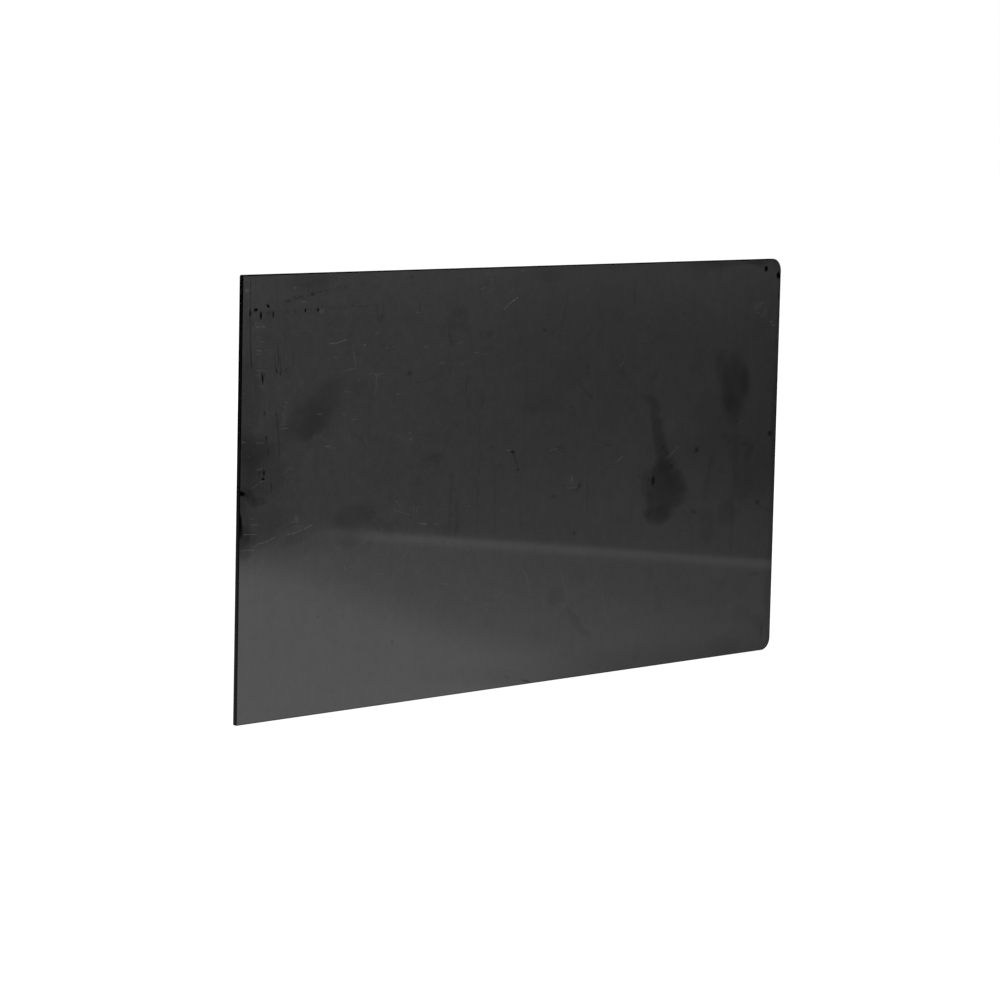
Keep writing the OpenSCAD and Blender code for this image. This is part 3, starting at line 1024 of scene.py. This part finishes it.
def liner_paper():
    """Cream release paper: smooth and a bit shiny, with faint fibres and shallow creases."""
    material, net, shader, where = new_material("liner_paper")
    tone = net.uneven(where, size=30.0, contrast=1.6)
    fibres = net.uneven(where, size=0.7, contrast=2.0)
    creases = net.uneven(where, size=22.0, contrast=1.8)
    shade = net.product(net.ramp(tone, 0.0, 1.0, 0.94, 1.0), net.ramp(fibres, 0.0, 1.0, 0.95, 1.03))
    relief = net.math("MULTIPLY_ADD", fibres, PAPER_FIBRES, net.product(creases, PAPER_CREASES))
    rough = net.ramp(fibres, 0.0, 1.0, *PAPER_ROUGH)
    finish(net, shader, net.scaled(PAPER_CREAM, shade), rough, relief)
    return material


# ---- The sheet ----
def placed(name, data):
    """A new object in the scene."""
    made = bpy.data.objects.new(name, data)
    bpy.context.scene.collection.objects.link(made)
    return made


def sheet_outline(inset):
    """Points round the sheet, in metres, inset millimetres inside its outline."""
    half_w, half_h = HALF_W_MM - inset, HALF_H_MM - inset
    points = []
    for side_x, side_z, start in ((1, 1, 0), (-1, 1, 90), (-1, -1, 180), (1, -1, 270)):
        radius = max((ROUND_END_R if side_x > 0 else CUT_END_R) - inset, SMALLEST_R)
        for step in range(ARC_STEPS + 1):
            angle = math.radians(start + 90 * step / ARC_STEPS)
            across = side_x * (half_w - radius) + radius * math.cos(angle)
            up = side_z * (half_h - radius) + radius * math.sin(angle)
            points.append((across * MM, up * MM))
    return points


def eased_rings():
    """(inset, y) of each ring of the sheet's side, from the front face to the back, in millimetres."""
    front, back = FRONT_Y / MM, BACK_Y / MM
    quarter = [math.radians(90 * step / EASE_STEPS) for step in range(EASE_STEPS + 1)]
    rings = [(FRONT_EASE * (1 - math.sin(a)), front + FRONT_EASE * (1 - math.cos(a))) for a in quarter]
    rings += [(BACK_EASE * (1 - math.cos(a)), back - BACK_EASE * (1 - math.sin(a))) for a in quarter]
    return rings


def face_zones():
    """The zones of the face: between the edges across and up, from the cut end's foot."""
    across = (-HALF_W_MM, *ZONE_EDGES_X, HALF_W_MM)
    up = (-HALF_H_MM, *ZONE_EDGES_Z, HALF_H_MM)
    spans_x = list(zip(across, across[1:]))
    return [Zone(*span_x, *span_z) for span_z in zip(up, up[1:]) for span_x in spans_x]


def zone_at(centre):
    """The number of the zone that holds a spot of the face."""
    column = sum(centre.x > edge * MM for edge in ZONE_EDGES_X)
    row = sum(centre.z > edge * MM for edge in ZONE_EDGES_Z)
    return row * (len(ZONE_EDGES_X) + 1) + column


def make_sheet(face_materials, edge_material, back_material):
    """The sheet with its sharp edges taken off, and its face cut into zones."""
    work = bmesh.new()
    loops = []
    for inset, y in eased_rings():
        loops.append([work.verts.new((px, y * MM, pz)) for px, pz in sheet_outline(inset)])
    edge_slot, back_slot = len(face_materials), len(face_materials) + 1
    work.faces.new(reversed(loops[0])).material_index = 0
    work.faces.new(loops[-1]).material_index = back_slot
    for near, far in zip(loops, loops[1:]):
        for i in range(len(near)):
            j = (i + 1) % len(near)
            side = work.faces.new((near[i], near[j], far[j], far[i]))
            side.material_index = edge_slot
            side.smooth = True
    cuts = [((edge * MM, 0.0, 0.0), (1.0, 0.0, 0.0)) for edge in ZONE_EDGES_X]
    cuts += [((0.0, 0.0, edge * MM), (0.0, 0.0, 1.0)) for edge in ZONE_EDGES_Z]
    for place, way in cuts:
        everything = [*work.verts, *work.edges, *work.faces]
        bmesh.ops.bisect_plane(work, geom=everything, dist=1e-7, plane_co=place, plane_no=way)
    bmesh.ops.recalc_face_normals(work, faces=work.faces)
    for face in work.faces:
        if face.material_index == 0:
            face.material_index = zone_at(face.calc_center_bounds())
    mesh = bpy.data.meshes.new("sheet")
    work.to_mesh(mesh)
    work.free()
    for material in (*face_materials, edge_material, back_material):
        mesh.materials.append(material)
    sheet = placed("sheet", mesh)
    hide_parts("face_plate")
    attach(sheet, "root")


def dress(names, material):
    """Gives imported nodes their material."""
    for name in names:
        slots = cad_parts[name].data.materials
        slots.clear()
        slots.append(material)


# ---- Stage: a painted reflection of a white table in a dim room, in metres ----
FLOOR_HALF = 12.0
FLOOR_GLOW = 0.86
SOFT_GLOW = 0.62
DIM_GLOW = 0.04
LAMP_SIDE = 1.8
# The table's near right corner on the floor, and how far its sides and its light are turned
TABLE_CORNER = (0.5085, -0.8, 0.0)
TABLE_TURN = math.radians(22.4)
TABLE_DEPTH = 0.88
LIGHT_TURN = math.radians(21.2)
# Painted lamp light on the table's left part, fading to painted shade on the right: between two places
# away from it, and the light at each
SHADE_FALL = (-0.115, 0.465, 0.69, 0.27)
BEAM_FALL = (-0.006, 0.117, 0.31, 0.0)
# a painted shadow of the plate on the table near its foot
FOOT_SHADE = 0.24
FOOT_ACROSS = (-0.06, 0.04)
FOOT_DEEP = (-0.11, -0.01)
# Where its top starts at the right and at the front, and ends at the back
TABLE_RIGHT = (-0.022, 0.014)
TABLE_FRONT = (-0.02, 0.14)
TABLE_BACK = (TABLE_DEPTH - 0.02, TABLE_DEPTH + 0.02, 1.0, 0.0)
# The painted highlight of a bright rim at its right edge: inward from it, and along it
RIM_FALL = (0.006, 0.08, 0.38, 0.0)
RIM_ALONG = (0.1, 0.44, 1.4, 0.66)
# The painted reflection of the dim room round it: away from the plate, across it, and a paler side at the
# front left
ROOM_FALL = (1.0, 2.4, 0.15, 0.06)
ROOM_ACROSS = (0.2, 1.6, 1.2, 0.6)
ROOM_LEFT = (-0.6, 0.2, 0.05, 1.0)
ROOM_FAR = (3.0, 6.5, 0.0, 0.12)
PALE_SIDE = (-0.25, 0.2, 0.07, 0.0)
PALE_AWAY = (1.2, 2.2)
SIDE_SLANT = 1.04


def painted_table_light(net, place):
    """Painted light on the table's top: a pool of painted lamp light on its left part, fading to painted
    shade on the right, with a painted shadow near the plate's foot.
    """
    across, deep, _ = net.split(place)
    away = net.product(across, math.cos(LIGHT_TURN))
    away = net.math("MULTIPLY_ADD", deep, math.sin(LIGHT_TURN), away)
    light = net.math("ADD", net.ramp(away, *SHADE_FALL), net.ramp(away, *BEAM_FALL))
    foot = net.product(net.ramp(across, *FOOT_ACROSS), net.ramp(deep, *FOOT_DEEP))
    return net.product(light, net.math("MULTIPLY_ADD", foot, -FOOT_SHADE, 1.0))


def painted_room_light(net, place):
    """Painted brightness of the dim room past the table, seen only in reflections: darkest behind the
    plate and to its left.
    """
    across, deep, _ = net.split(place)
    far = net.vector("LENGTH", place, gives="Value")
    glow = net.product(net.ramp(far, *ROOM_FALL), net.ramp(across, *ROOM_ACROSS))
    side = net.math("MULTIPLY_ADD", deep, SIDE_SLANT, across)
    pale = net.product(net.ramp(side, *PALE_SIDE), net.ramp(far, *PALE_AWAY))
    room = net.math("ADD", net.math("ADD", glow, pale), net.ramp(far, *ROOM_FAR))
    return net.product(room, net.ramp(across, *ROOM_LEFT))


def painted_floor_reflection(net):
    """Painted reflection: the floor glows, for glossy rays only, with a picture of the table with its
    bright rim, and past it the room.
    """
    place = net.node("ShaderNodeNewGeometry").outputs["Position"]
    inputs = {"Vector": place, "Location": TABLE_CORNER, "Rotation": (0.0, 0.0, -TABLE_TURN)}
    on_table = net.node("ShaderNodeMapping", inputs, vector_type="TEXTURE").outputs["Vector"]
    right, up, _ = net.split(on_table)
    inward = net.product(right, -1.0)
    # painted highlight along the table's rim
    rim = net.product(net.ramp(inward, *RIM_FALL), net.ramp(up, *RIM_ALONG, smooth=False))
    top = net.math("ADD", painted_table_light(net, place), rim)
    inside = net.product(net.ramp(inward, *TABLE_RIGHT), net.ramp(up, *TABLE_FRONT))
    inside = net.product(inside, net.ramp(up, *TABLE_BACK))
    inputs = {"Factor": inside, "A": painted_room_light(net, place), "B": top}
    return net.node("ShaderNodeMix", inputs).outputs["Result"]


def make_floor():
    """The floor: white with a faint shadow to the camera, pale to the light that it bounces, and to glossy
    rays a glowing painted reflection of a table in a room.
    """
    mesh = bpy.data.meshes.new("floor")
    sides = ((-1, -1), (1, -1), (1, 1), (-1, 1))
    mesh.from_pydata([(x * FLOOR_HALF, y * FLOOR_HALF, FLOOR_Z) for x, y in sides], [], [(0, 1, 2, 3)])
    floor = placed("floor", mesh)

    material = bpy.data.materials.new("floor")
    net = emptied(material)
    pale = net.node("ShaderNodeBsdfDiffuse", {"Color": (0.8, 0.8, 0.8, 1.0)}).outputs["BSDF"]
    faint = net.node("ShaderNodeBsdfDiffuse", {"Color": (0.3, 0.3, 0.3, 1.0)}).outputs["BSDF"]
    white = net.node("ShaderNodeEmission", {"Strength": FLOOR_GLOW}).outputs["Emission"]
    shown = net.node("ShaderNodeAddShader", {0: white, 1: faint}).outputs["Shader"]
    # painted reflection: what glossy rays see of the floor is light it emits, not light it receives
    painted_reflection = net.node("ShaderNodeEmission", {"Strength": painted_floor_reflection(net)}).outputs["Emission"]
    bounced = net.for_rays("Is Glossy Ray", pale, painted_reflection)
    surface = net.for_rays("Is Camera Ray", bounced, shown)
    net.node("ShaderNodeOutputMaterial", {"Surface": surface})
    mesh.materials.append(material)


def make_world():
    """White to the camera, dim to reflections, and soft light from all round."""
    world = bpy.data.worlds.new("studio")
    net = emptied(world)
    glows = []
    for strength in (SOFT_GLOW, DIM_GLOW, 1.0):
        inputs = {"Color": (1.0, 1.0, 1.0, 1.0), "Strength": strength}
        glows.append(net.node("ShaderNodeBackground", inputs).outputs["Background"])
    soft, dim, white = glows
    surface = net.for_rays("Is Camera Ray", net.for_rays("Is Glossy Ray", soft, dim), white)
    net.node("ShaderNodeOutputWorld", {"Surface": surface})
    bpy.context.scene.world = world


def make_lamp(name, place, watts):
    """A square soft box that looks at the plate."""
    light = bpy.data.lights.new(name, "AREA")
    light.size = LAMP_SIDE
    light.energy = watts
    lamp = placed(name, light)
    lamp.location = place
    lamp.rotation_euler = (-Vector(place)).to_track_quat("-Z", "Y").to_euler()
    lamp.visible_glossy = False


# ---- Camera ----
CAMERA_AZIMUTH = math.radians(-46.024)
CAMERA_HEIGHT = math.radians(6.477)
CAMERA_ROLL = math.radians(1.306)
CAMERA_AWAY = 2.7221
CAMERA_AIM = (-0.0276, FRONT_Y, -0.0151)
CAMERA_LENS = 136.28


def make_camera():
    """A long lens, from the front and left of the plate and a little above it."""
    level = math.cos(CAMERA_HEIGHT)
    across, out = math.sin(CAMERA_AZIMUTH) * level, -math.cos(CAMERA_AZIMUTH) * level
    back = Vector((across, out, math.sin(CAMERA_HEIGHT)))
    data = bpy.data.cameras.new("camera")
    data.lens = CAMERA_LENS
    camera = placed("camera", data)
    camera.location = Vector(CAMERA_AIM) + back * CAMERA_AWAY
    camera.rotation_mode = "QUATERNION"
    upright = (-back).to_track_quat("-Z", "Y").to_matrix().to_4x4()
    camera.rotation_quaternion = (upright @ Matrix.Rotation(CAMERA_ROLL, 4, "Z")).to_quaternion()
    bpy.context.scene.camera = camera


make_camera()
make_floor()
make_world()
make_lamp("key", (-1.6, -2.6, 1.9), 46.0)
make_lamp("fill", (2.4, -1.6, 1.6), 18.0)
make_lamp("behind", (0.8, 2.6, 2.0), 40.0)
bpy.context.scene.view_settings.view_transform = "Standard"

face_finishes = []
for number, zone in enumerate(face_zones(), 1):
    face_finishes.append(face_plastic(f"face_plastic_{number}", zone))
make_sheet(face_finishes, edge_plastic(), back_plastic())
dress([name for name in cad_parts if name.startswith("tape_")], foam())
dress([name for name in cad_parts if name.startswith("liner_")], liner_paper())
